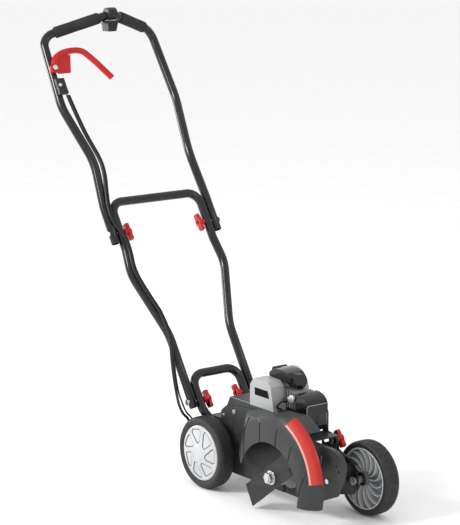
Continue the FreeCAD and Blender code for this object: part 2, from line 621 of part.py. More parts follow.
def make_wheels():
    wheel("rear_right", 0, -size("wheel_offset"), "rim_radius", -1)
    wheel("rear_left", 0, size("wheel_offset"), "rim_radius", 1)
    wheel("front", FRONT_AXLE_X, FRONT_WHEEL_Y, "front_rim_radius", 1)
    node(rod("axle_rod", (0, -122, AXLE_Z), "axle_radius", 244), "rear_axle")
    nuts = [ring("push_nut_%d" % i, "axle_radius", 12, low, low + 3, (0, 0, AXLE_Z))
            for i, low in enumerate((-121.5, 118.5))]
    node(group("push_nuts", nuts), "axle_push_nuts")
    arm_outline = [(297, 100), (306, 150), (307, 174), (314, 184), (328, 184), (335, 174), (338, 152),
                   (384, 134), (405, 116), (409, 92), (405, 70), (393, 54), (342, 42), (312, 60)]
    node(plate("arm_plate", arm_outline, 4, 42, [(*ARM_PIVOT, "8 + running_gap"),
                                                 (*DEPTH_STUD, "bolt_radius"),
                                                 (FRONT_AXLE_X, AXLE_Z, "axle_radius")]),
         "front_wheel_arm")
    bolt = [rod("front_bolt", (FRONT_AXLE_X, 37, AXLE_Z), "axle_radius", 76),
            rod("front_head", (FRONT_AXLE_X, 33, AXLE_Z), 10, 5 - 0.05),
            rod("front_nut", (FRONT_AXLE_X, 107, AXLE_Z), 10, 5),
            rod("front_spacer", (FRONT_AXLE_X, 42.05, AXLE_Z), 9, 17)]
    stud = [rod("depth_stud", (DEPTH_STUD[0], 31, DEPTH_STUD[1]), "bolt_radius", 26),
            rod("depth_head", (DEPTH_STUD[0], 29, DEPTH_STUD[1]), 8, 3.9)]
    node(group("front_bolts", [fused("front_axle_whole", bolt), fused("depth_bolt", stud)]),
         "front_arm_bolts")
    shaft = [rod("pivot_rod", (ARM_PIVOT[0], BASE_Y, ARM_PIVOT[1]), 8, 97),
             rod("pivot_cap", (ARM_PIVOT[0], 42.4, ARM_PIVOT[1]), 12, 4)]
    node(fused("pivot_whole", shaft), "cross_shaft")
    knob = wing_knob(V(DEPTH_STUD[0], 42.4, DEPTH_STUD[1]), 1, 22, size("depth_knob_wing"))
    node(shaped("depth_knob_shape", knob), "depth_knob")


def stud_slot():
    """The arc slot in the bracket that the depth bolt runs in as the arm swings."""
    pivot_x, pivot_z = ARM_PIVOT
    reach = math.hypot(DEPTH_STUD[0] - pivot_x, DEPTH_STUD[1] - pivot_z)
    rest = math.atan2(DEPTH_STUD[1] - pivot_z, DEPTH_STUD[0] - pivot_x)
    slot = None
    for step in range(-10, 29, 2):
        turn = rest + math.radians(step)
        hole = y_hole(pivot_x + reach * math.cos(turn), pivot_z + reach * math.sin(turn),
                      size("bolt_radius") + 0.7, 30, 37)
        slot = hole if slot is None else slot.fuse(hole)
    return slot.removeSplitter()


# ---------------------------------------------------------------- handles

WING_TURN = 52.0                                # the wings' slope, along the handle


def wing_knob(at, side, reach, wing):
    """A two-winged clamp knob on the Y line through AT: a stem, then a bar towards SIDE."""
    stem, long = size("knob_stem"), size("knob_stem") + wing
    bar = Part.makeBox(2 * reach, wing, 15, V(-reach, stem, -7.5))
    hub = y_hole(0, 0, size("knob_radius"), stem, long)
    ends = y_hole(0, 0, reach, stem, long)
    body = y_hole(0, 0, 8, 0, long).fuse(bar.common(ends)).fuse(hub)
    body.rotate(V(0, 0, 0), V(0, 1, 0), WING_TURN)
    body = body.cut(y_hole(0, 0, size("bolt_radius") + size("running_gap"), -1, long + 1))
    if side < 0:
        body = body.mirror(V(0, 0, 0), V(0, 1, 0))
    body = body.removeSplitter()
    body.translate(at)
    return body


def handle_bolts(name, point, inner, outer):
    """The two bolts of a fold: heads outside, ends inside under the knobs."""
    bolts = []
    for side in (-1, 1):
        shank = Part.makeCylinder(size("bolt_radius"), outer - inner, V(point.x, side * inner, point.z),
                                  V(0, side, 0))
        head = Part.makeCylinder(8, 4, V(point.x, side * outer, point.z), V(0, side, 0))
        bolts.append(shank.fuse(head))
    return shaped(name, Part.makeCompound(bolts))


def drilled(tube, point, reach, radius):
    return tube.cut(y_hole(point.x, point.z, radius, -reach, reach))


def both_sides(points):
    """A loop's half, from its starboard end, mirrored to port."""
    return points + [V(p.x, -p.y, p.z) for p in reversed(points)]


def make_handles():
    bolt, gap, tube = size("bolt_radius"), size("running_gap"), size("tube_radius")
    half = [on_handle(-96, -FOOT_LEG), on_handle(-50, -FOOT_LEG), on_handle(-24, -LOWER_LEG),
            on_handle(67, -LOWER_LEG)]
    lower = bent_tube(both_sides(half), [50, 50, 34, 34, 50, 50])
    lower = drilled(drilled(lower, FOLD_LOW, 90, bolt), LEG_BOLT, 90, bolt)
    node(shaped("lower_tube", lower), "lower_handle")
    outer = MIDDLE_LEG + tube + 0.2
    knob_reach = tube + 0.3 + size("knob_stem") + size("knob_wing") - 5
    node(handle_bolts("lower_bolts", FOLD_LOW, LOWER_LEG - knob_reach, outer), "lower_handle_bolts")

    half = [on_handle(-15, -MIDDLE_LEG), on_handle(179, -MIDDLE_LEG), on_handle(345, -144),
            on_handle(412, -MIDDLE_TOP_LEG), on_handle(541, -MIDDLE_TOP_LEG)]
    middle = bent_tube(both_sides(half), [150, 110, 110, 34, 34, 110, 110, 150])
    middle = drilled(middle, FOLD_LOW, 120, bolt + gap)
    middle = drilled(middle, FOLD_HIGH, 150, bolt)
    node(shaped("middle_tube", middle), "middle_handle")
    node(handle_bolts("middle_bolts", FOLD_HIGH, MIDDLE_TOP_LEG - knob_reach, UPPER_LEG + tube + 0.2),
         "middle_handle_bolts")

    half = [on_handle(432, -UPPER_LEG), on_handle(530, -UPPER_LEG), on_handle(650, -146.5, 8),
            on_handle(813, -177, -7), GRIP_CORNER]
    half_radii = [200, 200, 160, 34]
    apex = GRIP_PEAK
    points = half + [apex] + [V(p.x, -p.y, p.z) for p in reversed(half)]
    upper = bent_tube(points, half_radii + [60] + half_radii[::-1])
    upper = drilled(upper, FOLD_HIGH, 170, bolt + gap)
    upper = upper.cut(Part.makeCylinder(3.5, 60, lever_point(LEVER_AT, LEVER_Y, -30), NORMAL))
    node(shaped("upper_tube", upper), "upper_handle")
    make_grips()
    knobs = [("lower_right", FOLD_LOW, -(LOWER_LEG - tube - 0.3), 1),
             ("lower_left", FOLD_LOW, LOWER_LEG - tube - 0.3, -1),
             ("upper_right", FOLD_HIGH, -(MIDDLE_TOP_LEG - tube - 0.3), 1),
             ("upper_left", FOLD_HIGH, MIDDLE_TOP_LEG - tube - 0.3, -1)]
    for label, point, y, side in knobs:
        knob = wing_knob(V(point.x, y, point.z), side, 23, size("knob_wing"))
        node(shaped("knob_shape_" + label, knob), "knob_" + label)


GRIP_CORNER = V(-603, -168, 1056)
GRIP_PEAK = V(-534, 0, 1112)
LEVER_AT, LEVER_Y = 915.0, -173.0               # the clutch lever's pivot on the upper handle
LEVER_SEAT = 6.2                                # the lever's seat above the handle plane


def lever_point(along, y, rise):
    """A point RISE above the lever's seat."""
    return on_handle(along, y, LEVER_SEAT + rise)


def make_grips():
    """Foam sleeves on the two slanting halves of the top bar."""
    tube = size("tube_radius")
    for label, side in (("right", -1), ("left", 1)):
        corner = V(GRIP_CORNER.x, side * abs(GRIP_CORNER.y), GRIP_CORNER.z)
        line = GRIP_PEAK - corner
        begin, long = corner + line * 0.18, line.Length * 0.64
        sleeve = Part.makeCylinder(size("grip_radius"), long, begin, line)
        sleeve = sleeve.cut(Part.makeCylinder(tube, long, begin, line))
        node(shaped("grip_shape_" + label, sleeve), "grip_" + label)


# ---------------------------------------------------------------- controls

def make_controls():
    curve = [(915, LEVER_Y), (942, -164), (956, -138), (961, -112), (961, -87), (956, -71), (928, -47),
             (876, -11)]
    path = bent_path([lever_point(s, y, 5.5) for s, y in curve],
                     lambda i, turn, run: 0.45 * run / math.tan(turn / 2))
    web = [(915, LEVER_Y), (942, -158), (952, -130), (950, -112), (900, -128), (900, -164)]
    web = Part.Face(Part.makePolygon([lever_point(s, y, 0) for s, y in web + web[:1]])).extrude(NORMAL * 6)
    pivot = lever_point(LEVER_AT, LEVER_Y, 0)
    lever = swept(path, 8.0).fuse(web).fuse(Part.makeCylinder(12, 9, pivot, NORMAL))
    lever = lever.cut(Part.makeCylinder(4.05, 60, pivot - NORMAL * 12, NORMAL))
    lever = lever.cut(Part.makeCylinder(9, 20, pivot + NORMAL * 9.05, NORMAL))
    slab = Part.makeCylinder(400, 30, pivot - NORMAL * 30, NORMAL)
    step = Part.makeCylinder(400, 30, pivot - NORMAL * 29, NORMAL)    # clears the tube as the lever swings
    step = step.cut(Part.makeCylinder(12.5, 31, pivot - NORMAL * 29.5, NORMAL))
    node(shaped("lever_shape", lever.cut(slab).cut(step).removeSplitter()), "clutch_lever")
    bolt = Part.makeCylinder(3.5, 37, pivot - NORMAL * 27, NORMAL)
    bolt = bolt.fuse(Part.makeCylinder(4.0, 9.4, pivot - NORMAL * 0.1, NORMAL))
    bolt = bolt.fuse(Part.makeCylinder(7, 4, pivot + NORMAL * 9.3, NORMAL))
    bolt = bolt.fuse(Part.makeCylinder(6, 3.5, pivot - NORMAL * 27, NORMAL))
    clip_low, clip_thick = LEVER_SEAT - 0.6, 9.6
    screw = Part.makeCylinder(5, 3, on_handle(866, -175, clip_low + clip_thick + 0.05), NORMAL)
    node(shaped("lever_bolt_shape", Part.makeCompound([bolt, screw])), "lever_fasteners")
    node(shaped("clip_shape", up_handle_block("clip", 842, -182, clip_low, 44, 26, clip_thick)),
         "cable_bracket")
    make_throttle([(-12, -44), (12, -44), (19, -18), (-14, -18)])


THROTTLE_Y = -7.0                               # the control box stands a little to starboard


def make_throttle(outline):
    """The control box that hangs under the top bar's peak, and its thumb lever."""
    x, y, z = GRIP_PEAK.x, THROTTLE_Y, GRIP_PEAK.z
    box = Part.Face(Part.makePolygon([V(x - 15, y + a, z + b) for a, b in outline + outline[:1]]))
    box = box.extrude(V(30, 0, 0))
    clamp = Part.makeCylinder(size("tube_radius") + 5, 26, V(x, -17, z), V(0, 1, 0))
    hinge_x, hinge_z = x - 9, z - 27
    lever_gap = Part.makeCylinder(11.5, 8, V(hinge_x, y - 4, hinge_z), V(0, 1, 0))
    window = Part.makeBox(22, 8, 16, V(x - 28, y - 4, z - 35))
    box = box.fuse(clamp).cut(upper_bar_tool()).cut(lever_gap).cut(window)
    node(shaped("throttle_box_shape", box), "throttle_box")
    stub = Part.makeCylinder(9, 7, V(hinge_x, y - 3.5, hinge_z), V(0, 1, 0))
    thumb = Part.makeBox(20, 7, 6, V(x - 33, y - 3.5, z - 30))
    node(shaped("throttle_lever_shape", stub.fuse(thumb).removeSplitter()), "throttle_lever")


def upper_bar_tool():
    """A solid bar along the top of the upper handle, to cut its seat in the control box."""
    corner = V(GRIP_CORNER.x, -GRIP_CORNER.y, GRIP_CORNER.z)
    path = bent_path([GRIP_CORNER, GRIP_PEAK, corner], lambda i, turn, run: 60)
    return swept(path, size("tube_radius") + 0.05)


def make_cables(tail):
    clutch, throttle = size("clutch_cable"), size("throttle_cable")
    upper = [(838, -163, 13), (800, -158, 11), (738, -148.5, 9), (703, -142, 10.5), (650, -133.5, 16.5),
             (606, -139, 19), (560, -151, 18), (522, -158, 16.8), (487, -158.5, 16.5)]
    middle = [(440, -138, 16.5), (405, -136.5, 16.4), (352, -145, 16.6), (296, -131, 16.8),
              (240, -112, 16.6), (184, -103, 16.2), (148, -108, 12), (112, -114, 4), (66, -120, -4),
              (30, -121, -12)]
    lower = [V(-80, -121, 197), V(-69, -118, 175), V(-76, -96, 157), V(-82, -85, 141), V(-86, -70, 132),
             V(-76, -55, 128), V(-62, -43, 128), V(-51, -38, 130)]
    for label, route in (("upper", upper), ("middle", middle)):
        solids = [cord([on_handle(s, y, off) for s, y, off in route], clutch),
                  cord([on_handle(s, y + 6.6, off) for s, y, off in route], throttle)]
        node(shaped("cable_shape_" + label, Part.makeCompound(solids)), "cables_" + label)
    wire_end = V(-44.3, 0, 134)
    wire = Part.makeCylinder(1.0, (tail - wire_end).Length - 9, wire_end + V(0, -37, 0), tail - wire_end)
    beside = [p + (V(5, 7.5, 2) if p.y < -50 else V(0, 7, 5)) for p in lower]
    solids = [cord(lower, clutch), cord(beside, throttle), wire]
    node(shaped("cable_shape_lower", Part.makeCompound(solids)), "cables_lower")


# ---------------------------------------------------------------- fasteners

def make_fasteners(pivot):
    """Guard screws, handle leg bolts, engine bolts and the idler's pivot pin, one group."""
    base = BASE_Y - size("guard_wall") - 0.1
    pieces = []
    for x, z in ((16, 178), (34, 56), (60, 196), (408, 107)):
        out = BASE_Y if x > 300 else base
        pieces.append(Part.makeCylinder(6, 3, V(x, out - 3, z), V(0, 1, 0)))
    for side in (-1, 1):
        head = side * (FOOT_LEG + size("tube_radius") + 0.1)
        shank = Part.makeCylinder(size("bolt_radius"), abs(head) - 40, V(LEG_BOLT.x, side * 40, LEG_BOLT.z),
                                  V(0, side, 0))
        pieces.append(shank.fuse(Part.makeCylinder(7.5, 4, V(LEG_BOLT.x, head, LEG_BOLT.z), V(0, side, 0))))
    for x, y in ((132, -12), (172, -12), (132, 26), (172, 26)):
        pieces.append(Part.makeCylinder(5, 4, V(x, y, size("deck_top") - 7.1), V(0, 0, 1)))
    pin = y_hole(pivot.x, pivot.z, 5, BASE_Y + 3, BELT_Y - 6.6)
    pieces.append(pin.fuse(y_hole(pivot.x, pivot.z, 7.5, BELT_Y - 7.6, BELT_Y - 6.2)))
    node(shaped("fastener_shape", Part.makeCompound(pieces)), "deck_fasteners")


make_deck()
make_spindle()
make_guard()
idler_pivot, idler_tail = make_belt_drive()
make_engine()
make_wheels()
make_handles()
make_controls()
make_cables(idler_tail)
make_fasteners(idler_pivot)
spring_end = idler_tail + V(-16, 0, -10)
node(rod("spring_rod", (60, -44, 150), 3, (spring_end - V(60, 0, 150)).Length,
         FreeCAD.Rotation(V(0, 0, 1), spring_end - V(60, 0, 150))), "idler_spring")
doc.recompute()

for thing in doc.Objects:
    if {"Invalid", "Error"} & set(thing.State):
        raise RuntimeError("%s did not build" % thing.Label)
os.makedirs("parts", exist_ok=True)
for thing in NODES:
    shape = thing.Shape
    if shape.isNull() or not shape.isValid():
        raise RuntimeError("%s has a bad shape" % thing.Label)
    shape.exportStep("parts/%s.step" % thing.Label)
    print(thing.Label, len(shape.Solids), round(shape.Volume / 1000, 2))
print(len(NODES), "nodes")
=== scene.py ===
import json
import math

import bmesh
import bpy
from mathutils import Matrix, Vector, noise


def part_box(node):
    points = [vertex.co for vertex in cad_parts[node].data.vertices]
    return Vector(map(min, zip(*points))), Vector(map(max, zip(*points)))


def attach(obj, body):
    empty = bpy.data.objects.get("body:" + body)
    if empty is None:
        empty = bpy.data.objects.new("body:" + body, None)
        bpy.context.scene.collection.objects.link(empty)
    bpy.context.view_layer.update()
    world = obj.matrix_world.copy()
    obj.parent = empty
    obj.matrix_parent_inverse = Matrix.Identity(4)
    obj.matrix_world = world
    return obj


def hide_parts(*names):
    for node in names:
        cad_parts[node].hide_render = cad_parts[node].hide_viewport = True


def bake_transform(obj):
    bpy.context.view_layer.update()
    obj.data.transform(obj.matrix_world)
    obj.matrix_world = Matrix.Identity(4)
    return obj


# Looks for the walk-behind lawn edger. Metres, in the CAD frame: X forward, Y to the
# operator's left, Z up, origin on the ground under the rear axle.

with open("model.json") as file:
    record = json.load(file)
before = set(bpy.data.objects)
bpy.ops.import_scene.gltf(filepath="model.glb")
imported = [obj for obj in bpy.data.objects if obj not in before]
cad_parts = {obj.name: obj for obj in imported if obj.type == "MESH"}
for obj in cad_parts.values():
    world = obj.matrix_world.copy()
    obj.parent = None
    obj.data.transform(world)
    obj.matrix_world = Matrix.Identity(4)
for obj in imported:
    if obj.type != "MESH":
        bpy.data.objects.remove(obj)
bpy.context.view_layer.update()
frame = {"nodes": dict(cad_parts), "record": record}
NODES, BODIES = frame["nodes"], frame["record"]["behaviour"]["bodies"]
BODY_OF = {node: body for body, members in BODIES.items() for node in members}
SLOT_OF = {part["node"]: part["material_slot"] for part in frame["record"]["subparts"]}
MM = 0.001


# ---------------------------------------------------------------- materials

def material(name, dark, light, rough, metal=0.0, patch=14.0, grain=700.0, bump=0.15, spread=0.06,
             specular=0.5, depth=0.0003, streak=None):
    """Principled shader with clouded colour, uneven roughness and a fine grain."""
    made = bpy.data.materials.new(name)
    made.use_nodes = True
    tree = made.node_tree
    shader = tree.nodes["Principled BSDF"]
    shader.inputs["Metallic"].default_value = metal
    shader.inputs["Specular IOR Level"].default_value = specular
    coords = tree.nodes.new("ShaderNodeTexCoord")
    stretch = tree.nodes.new("ShaderNodeMapping")
    stretch.inputs["Scale"].default_value = streak or (1, 1, 1)
    tree.links.new(coords.outputs["Object"], stretch.inputs["Vector"])

    def cloud(scale, detail):
        texture = tree.nodes.new("ShaderNodeTexNoise")
        texture.inputs["Scale"].default_value = scale
        texture.inputs["Detail"].default_value = detail
        tree.links.new(stretch.outputs["Vector"], texture.inputs["Vector"])
        return texture.outputs["Fac"]
    tint = tree.nodes.new("ShaderNodeValToRGB")
    tint.color_ramp.elements[0].position, tint.color_ramp.elements[1].position = 0.3, 0.7
    tint.color_ramp.elements[0].color = (*dark, 1)
    tint.color_ramp.elements[1].color = (*light, 1)
    tree.links.new(cloud(patch, 5.0), tint.inputs["Fac"])
    tree.links.new(tint.outputs["Color"], shader.inputs["Base Color"])
    sheen = tree.nodes.new("ShaderNodeMapRange")
    sheen.inputs["To Min"].default_value = max(0.02, rough - spread)
    sheen.inputs["To Max"].default_value = min(1.0, rough + spread)
    tree.links.new(cloud(patch * 6, 3.0), sheen.inputs["Value"])
    tree.links.new(sheen.outputs["Result"], shader.inputs["Roughness"])
    relief = tree.nodes.new("ShaderNodeBump")
    relief.inputs["Strength"].default_value = bump
    relief.inputs["Distance"].default_value = depth
    tree.links.new(cloud(grain, 3.0), relief.inputs["Height"])
    tree.links.new(relief.outputs["Normal"], shader.inputs["Normal"])
    return made


def banded(name, centre, inner, outer, stops, rough):
    """A glossy plastic whose colour changes from INNER to OUTER metres off the Y line through CENTRE."""
    made = material(name, stops[0][1], stops[-1][1], rough, bump=0.05, specular=0.35)
    tree = made.node_tree
    coords = next(n for n in tree.nodes if n.type == "TEX_COORD")
    offset = tree.nodes.new("ShaderNodeVectorMath")
    offset.operation = "MULTIPLY_ADD"
    offset.inputs[1].default_value = (1, 0, 1)
    offset.inputs[2].default_value = (-centre[0], 0, -centre[1])
    tree.links.new(coords.outputs["Object"], offset.inputs[0])
    length = tree.nodes.new("ShaderNodeVectorMath")
    length.operation = "LENGTH"
    tree.links.new(offset.outputs["Vector"], length.inputs[0])
    span = tree.nodes.new("ShaderNodeMapRange")
    span.inputs["From Min"].default_value, span.inputs["From Max"].default_value = inner, outer
    tree.links.new(length.outputs["Value"], span.inputs["Value"])
    ramp = tree.nodes.new("ShaderNodeValToRGB")
    for element, (place, colour) in zip(ramp.color_ramp.elements, (stops[0], stops[-1])):
        element.position, element.color = place, (*colour, 1)
    for place, colour in stops[1:-1]:
        ramp.color_ramp.elements.new(place).color = (*colour, 1)
    tree.links.new(span.outputs["Result"], ramp.inputs["Fac"])
    shader = tree.nodes["Principled BSDF"]
    tree.links.new(ramp.outputs["Color"], shader.inputs["Base Color"])
    return made


BLACK_TUBE = material("black_tube", (0.006, 0.006, 0.007), (0.011, 0.011, 0.012), 0.2, grain=260,
                      bump=0.12, specular=0.4)
FOAM = material("foam", (0.022, 0.022, 0.023), (0.036, 0.036, 0.037), 0.92, grain=1600, bump=0.9,
                depth=0.0006, specular=0.15)
RED = material("red_plastic", (0.40, 0.008, 0.007), (0.47, 0.012, 0.009), 0.33, grain=500, bump=0.1,
               specular=0.3)
CHARCOAL = material("charcoal_plastic", (0.027, 0.028, 0.029), (0.036, 0.037, 0.038), 0.42, grain=900,
                    bump=0.28, specular=0.3)
# Near-black: the badge plate's own colour, and painted shade in the guard's pressed grooves.
BLACK_AND_GROOVE_SHADE = material("badge_black_and_groove_shade", (0.0015, 0.0015, 0.0015), (0.004, 0.004, 0.004), 0.7, specular=0.1)
SILVER = material("silver_plastic", (0.43, 0.44, 0.45), (0.50, 0.51, 0.52), 0.34, metal=0.1, grain=900,
                  bump=0.08, specular=0.4)
SHROUD = material("shroud_silver", (0.33, 0.335, 0.34), (0.38, 0.385, 0.39), 0.36, metal=0.1, grain=900,
                  bump=0.1, specular=0.4)
# Dark silver painted as shade in the hubcaps' pocket outline grooves.
SILVER_PAINTED_SHADE = material("silver_painted_shade", (0.07, 0.072, 0.075), (0.11, 0.112, 0.115), 0.5, metal=0.1)
# Darker silver painted as shade on the drum's cone between the ribs.
CONE_PAINTED_SHADE = material("silver_cone_painted_shade", (0.15, 0.155, 0.16), (0.21, 0.215, 0.22), 0.4, metal=0.2)
BLACK_PLASTIC = material("black_plastic", (0.009, 0.009, 0.010), (0.017, 0.017, 0.018), 0.38, grain=800,
                         bump=0.25, specular=0.3)
RUBBER = material("tyre_rubber", (0.012, 0.012, 0.013), (0.024, 0.024, 0.024), 0.55, grain=1100, bump=0.4,
                  patch=60, specular=0.35)
ZINC = material("zinc_steel", (0.50, 0.50, 0.48), (0.68, 0.68, 0.66), 0.26, metal=0.95, patch=60,
                grain=1500, bump=0.12)
DARK_STEEL = material("dark_steel", (0.020, 0.020, 0.021), (0.038, 0.038, 0.038), 0.45, metal=0.4, patch=30,
                      grain=300, bump=0.25, streak=(1, 1, 6), specular=0.3)
# Near-white steel painted as a glint on the blade pockets' end walls.
PAINTED_GLINT_STEEL = material("painted_glint_edge", (0.70, 0.70, 0.70), (0.85, 0.85, 0.85), 0.3, metal=0.3, patch=90)
CAST = material("cast_aluminium", (0.24, 0.24, 0.25), (0.38, 0.38, 0.39), 0.52, metal=0.6, grain=420,
                bump=0.6, depth=0.0006)
GLOSS_BLACK = material("gloss_black", (0.003, 0.003, 0.004), (0.007, 0.007, 0.008), 0.14, grain=300,
                       bump=0.10, specular=0.4)
DECK_GREY = material("deck_grey", (0.022, 0.023, 0.024), (0.032, 0.033, 0.034), 0.40, grain=700, bump=0.2,
                     specular=0.35)
# Light grey painted as highlights: thin lines along the muffler guard's and the deck plate's edges.
EDGE_HIGHLIGHT = material("painted_edge_highlight", (0.26, 0.27, 0.27), (0.34, 0.35, 0.35), 0.45, grain=700, bump=0.2)
BELT = material("belt_rubber", (0.010, 0.010, 0.010), (0.018, 0.018, 0.018), 0.7, grain=1400, bump=0.5)
CABLE = material("cable_skin", (0.006, 0.006, 0.006), (0.011, 0.011, 0.011), 0.35, grain=900, bump=0.15,
                 specular=0.4)
CERAMIC = material("ceramic", (0.60, 0.59, 0.56), (0.70, 0.69, 0.66), 0.18)
GUARD_CENTRE = (0.271, 0.0945)
# Radial colour bands on the red stripe: the pale pink band is a painted highlight along the curved rim, and
# the red deepens toward both edges.
STRIPE = banded("stripe_red", GUARD_CENTRE, 0.120, 0.170, [
    (0.0, (0.38, 0.008, 0.007)), (0.62, (0.42, 0.012, 0.01)), (0.66, (0.62, 0.40, 0.36)),
    (0.72, (0.47, 0.04, 0.03)), (0.86, (0.44, 0.03, 0.02)), (1.0, (0.38, 0.008, 0.007))], 0.28)


# ---------------------------------------------------------------- mesh helpers

def new_piece(name, mesh, body, slot, *stands_for):
    piece = bpy.data.objects.new(name, mesh)
    bpy.context.collection.objects.link(piece)
    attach(piece, body)
    if stands_for:
        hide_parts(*stands_for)
    return piece


def mesh_of(name, verts, faces, *mats):
    mesh = bpy.data.meshes.new(name)
    mesh.from_pydata([tuple(v) for v in verts], [], faces)
    for mat in mats:
        mesh.materials.append(mat)
    mesh.polygons.foreach_set("use_smooth", [True] * len(mesh.polygons))
    work = bmesh.new()
    work.from_mesh(mesh)
    bmesh.ops.recalc_face_normals(work, faces=work.faces)
    work.to_mesh(mesh)
    work.free()
    return mesh


def bevelled(piece, width, segments=2, angle=28.0):
    bevel = piece.modifiers.new("edge", "BEVEL")
    bevel.width = width
    bevel.segments = segments
    bevel.limit_method = "ANGLE"
    bevel.angle_limit = math.radians(angle)
    bevel.use_clamp_overlap = False
    bevel.miter_outer = "MITER_ARC"
    normals = piece.modifiers.new("normals", "WEIGHTED_NORMAL")
    normals.keep_sharp = True


def islands(work):
    """The mesh's separate shells, as lists of faces."""
    left, shells = set(work.faces), []
    while left:
        stack, shell = [left.pop()], []
        while stack:
            face = stack.pop()
            shell.append(face)
            for edge in face.edges:
                for other in edge.link_faces:
                    if other in left:
                        left.remove(other)
                        stack.append(other)
        shells.append(shell)
    return shells


def extent(shell):
    """The longest side of a shell's box."""
    points = [v.co for f in shell for v in f.verts]
    return max((max(p[i] for p in points) - min(p[i] for p in points)) for i in range(3))


def refine(node, mat, width=0.5, segments=2, big=0.0, large=150.0, drop_inner=False, paint=None,
           second=None):
    """The CAD node's form as a clean mesh: joined corners, rounded edges, its own material.

    WIDTH and BIG are bevels in millimetres: BIG rounds the edges between faces over LARGE square mm.
    PAINT(face centre, normal) is 1 where a face takes the SECOND material."""
    mesh = NODES[node].data.copy()
    work = bmesh.new()
    work.from_mesh(mesh)
    bmesh.ops.remove_doubles(work, verts=work.verts, dist=0.004 * MM)
    bmesh.ops.dissolve_limit(work, angle_limit=math.radians(0.8), verts=work.verts, edges=work.edges)
    if drop_inner:
        shells = islands(work)
        if len(shells) > 1:
            keep = max(shells, key=extent)
            gone = [f for shell in shells if shell is not keep for f in shell]
            bmesh.ops.delete(work, geom=gone, context="FACES")
    weight = work.edges.layers.float.new("bevel_weight_edge")
    for face in work.faces:
        face.smooth = True
        face.material_index = paint(face.calc_center_median(), face.normal) if paint else 0
    if big:
        for line in work.edges:
            if len(line.link_faces) == 2 and line.is_convex and line.calc_face_angle(0) > math.radians(20):
                if min(f.calc_area() for f in line.link_faces) > large * MM * MM:
                    line[weight] = 1.0
    work.to_mesh(mesh)
    work.free()
    mesh.materials.clear()
    mesh.materials.append(mat)
    if second:
        mesh.materials.append(second)
    piece = new_piece(node + "_finish", mesh, BODY_OF[node], SLOT_OF[node], node)
    if big:
        soft = piece.modifiers.new("soft", "BEVEL")
        soft.width = big * MM
        soft.segments = 4
        soft.limit_method = "WEIGHT"
        soft.use_clamp_overlap = True
    bevelled(piece, width * MM, segments, 40.0 if big else 28.0)


def rounded_path(points, radii, step=math.radians(6)):
    """The points of straight runs joined by arcs of the given RADII."""
    out = [points[0]]
    for i in range(1, len(points) - 1):
        before, here, after = points[i - 1], points[i], points[i + 1]
        into, away = (here - before).normalized(), (after - here).normalized()
        turn = into.angle(away)
        cut = radii[i - 1] * math.tan(turn / 2)
        first = here - into * cut
        inward = (away - into).normalized()
        centre = here + inward * (radii[i - 1] / math.cos(turn / 2))
        count = max(2, int(turn / step) + 1)
        axis = into.cross(away).normalized()
        for k in range(count + 1):
            out.append(centre + Matrix.Rotation(turn * k / count, 3, axis) @ (first - centre))
    return out + [points[-1]]


def sweep(path, radius_at, sides=28, wall=None):
    """Vertices and faces of a tube along PATH; RADIUS_AT(i, angle) gives its radius."""
    tangents = []
    for i in range(len(path)):
        a, b = path[max(0, i - 1)], path[min(len(path) - 1, i + 1)]
        tangents.append((b - a).normalized())
    side = tangents[0].orthogonal().normalized()
    rings, verts, faces = [], [], []
    for i, (point, along) in enumerate(zip(path, tangents)):
        side = (side - along * side.dot(along)).normalized()
        other = along.cross(side)
        ring = []
        for k in range(sides):
            angle = math.tau * k / sides
            ring.append(len(verts))
            verts.append(point + (side * math.cos(angle) + other * math.sin(angle)) * radius_at(i, angle))
        rings.append(ring)
    for first, second in zip(rings, rings[1:]):
        for k in range(sides):
            n = (k + 1) % sides
            faces.append((first[k], first[n], second[n], second[k]))
    if wall is None:
        for ring, point in ((rings[0], path[0]), (rings[-1], path[-1])):
            middle = len(verts)
            verts.append(point)
            faces += [(ring[k], ring[(k + 1) % sides], middle) for k in range(sides)]
    return verts, faces, rings


TUBE_RADIUS, TUBE_WALL = 11.1 * MM, 1.5 * MM
END_BEVEL, END_LENGTH = 0.5 * MM, 0.6 * MM


def frame_tube(name, node, points, radii):
    """A painted tube with open, walled ends."""
    path = rounded_path(points, radii)
    ends = [path[0], path[0] + (path[1] - path[0]).normalized() * END_LENGTH]
    tail = [path[-1] + (path[-2] - path[-1]).normalized() * END_LENGTH, path[-1]]
    path = ends + path[1:-1] + tail
    last = len(path) - 1
    verts, faces, rings = sweep(path, lambda i, a: TUBE_RADIUS - (END_BEVEL if i in (0, last) else 0),
                                wall=True)
    shift = len(verts)
    more, inner_faces, inner_rings = sweep(path, lambda i, a: TUBE_RADIUS - TUBE_WALL, wall=True)
    verts += more
    faces += [tuple(i + shift for i in face) for face in inner_faces]
    for ring, inside in ((rings[0], inner_rings[0]), (rings[-1], inner_rings[-1])):
        for k in range(len(ring)):
            n = (k + 1) % len(ring)
            faces.append((ring[k], ring[n], inside[n] + shift, inside[k] + shift))
    new_piece(name, mesh_of(name, verts, faces, BLACK_TUBE), BODY_OF[node], SLOT_OF[node], node)


def turned(profile, centre, steps, wobble=None):
    """Vertices and faces of a closed PROFILE of (radius, y) turned about Y at CENTRE."""
    verts, faces, count = [], [], len(profile)
    for i in range(steps):
        angle = math.tau * i / steps
        for radius, y in profile:
            r = radius - (wobble(angle, radius, y) if wobble else 0.0)
            verts.append(Vector((centre[0] + r * math.cos(angle), centre[1] + y,
                                 centre[2] + r * math.sin(angle))))
    for i in range(steps):
        a, b = i * count, ((i + 1) % steps) * count
        for k in range(count):
            n = (k + 1) % count
            faces.append((a + k, a + n, b + n, b + k))
    return verts, faces


def smooth_step(low, high, value):
    t = max(0.0, min(1.0, (value - low) / (high - low)))
    return t * t * (3 - 2 * t)


# ---------------------------------------------------------------- handle geometry

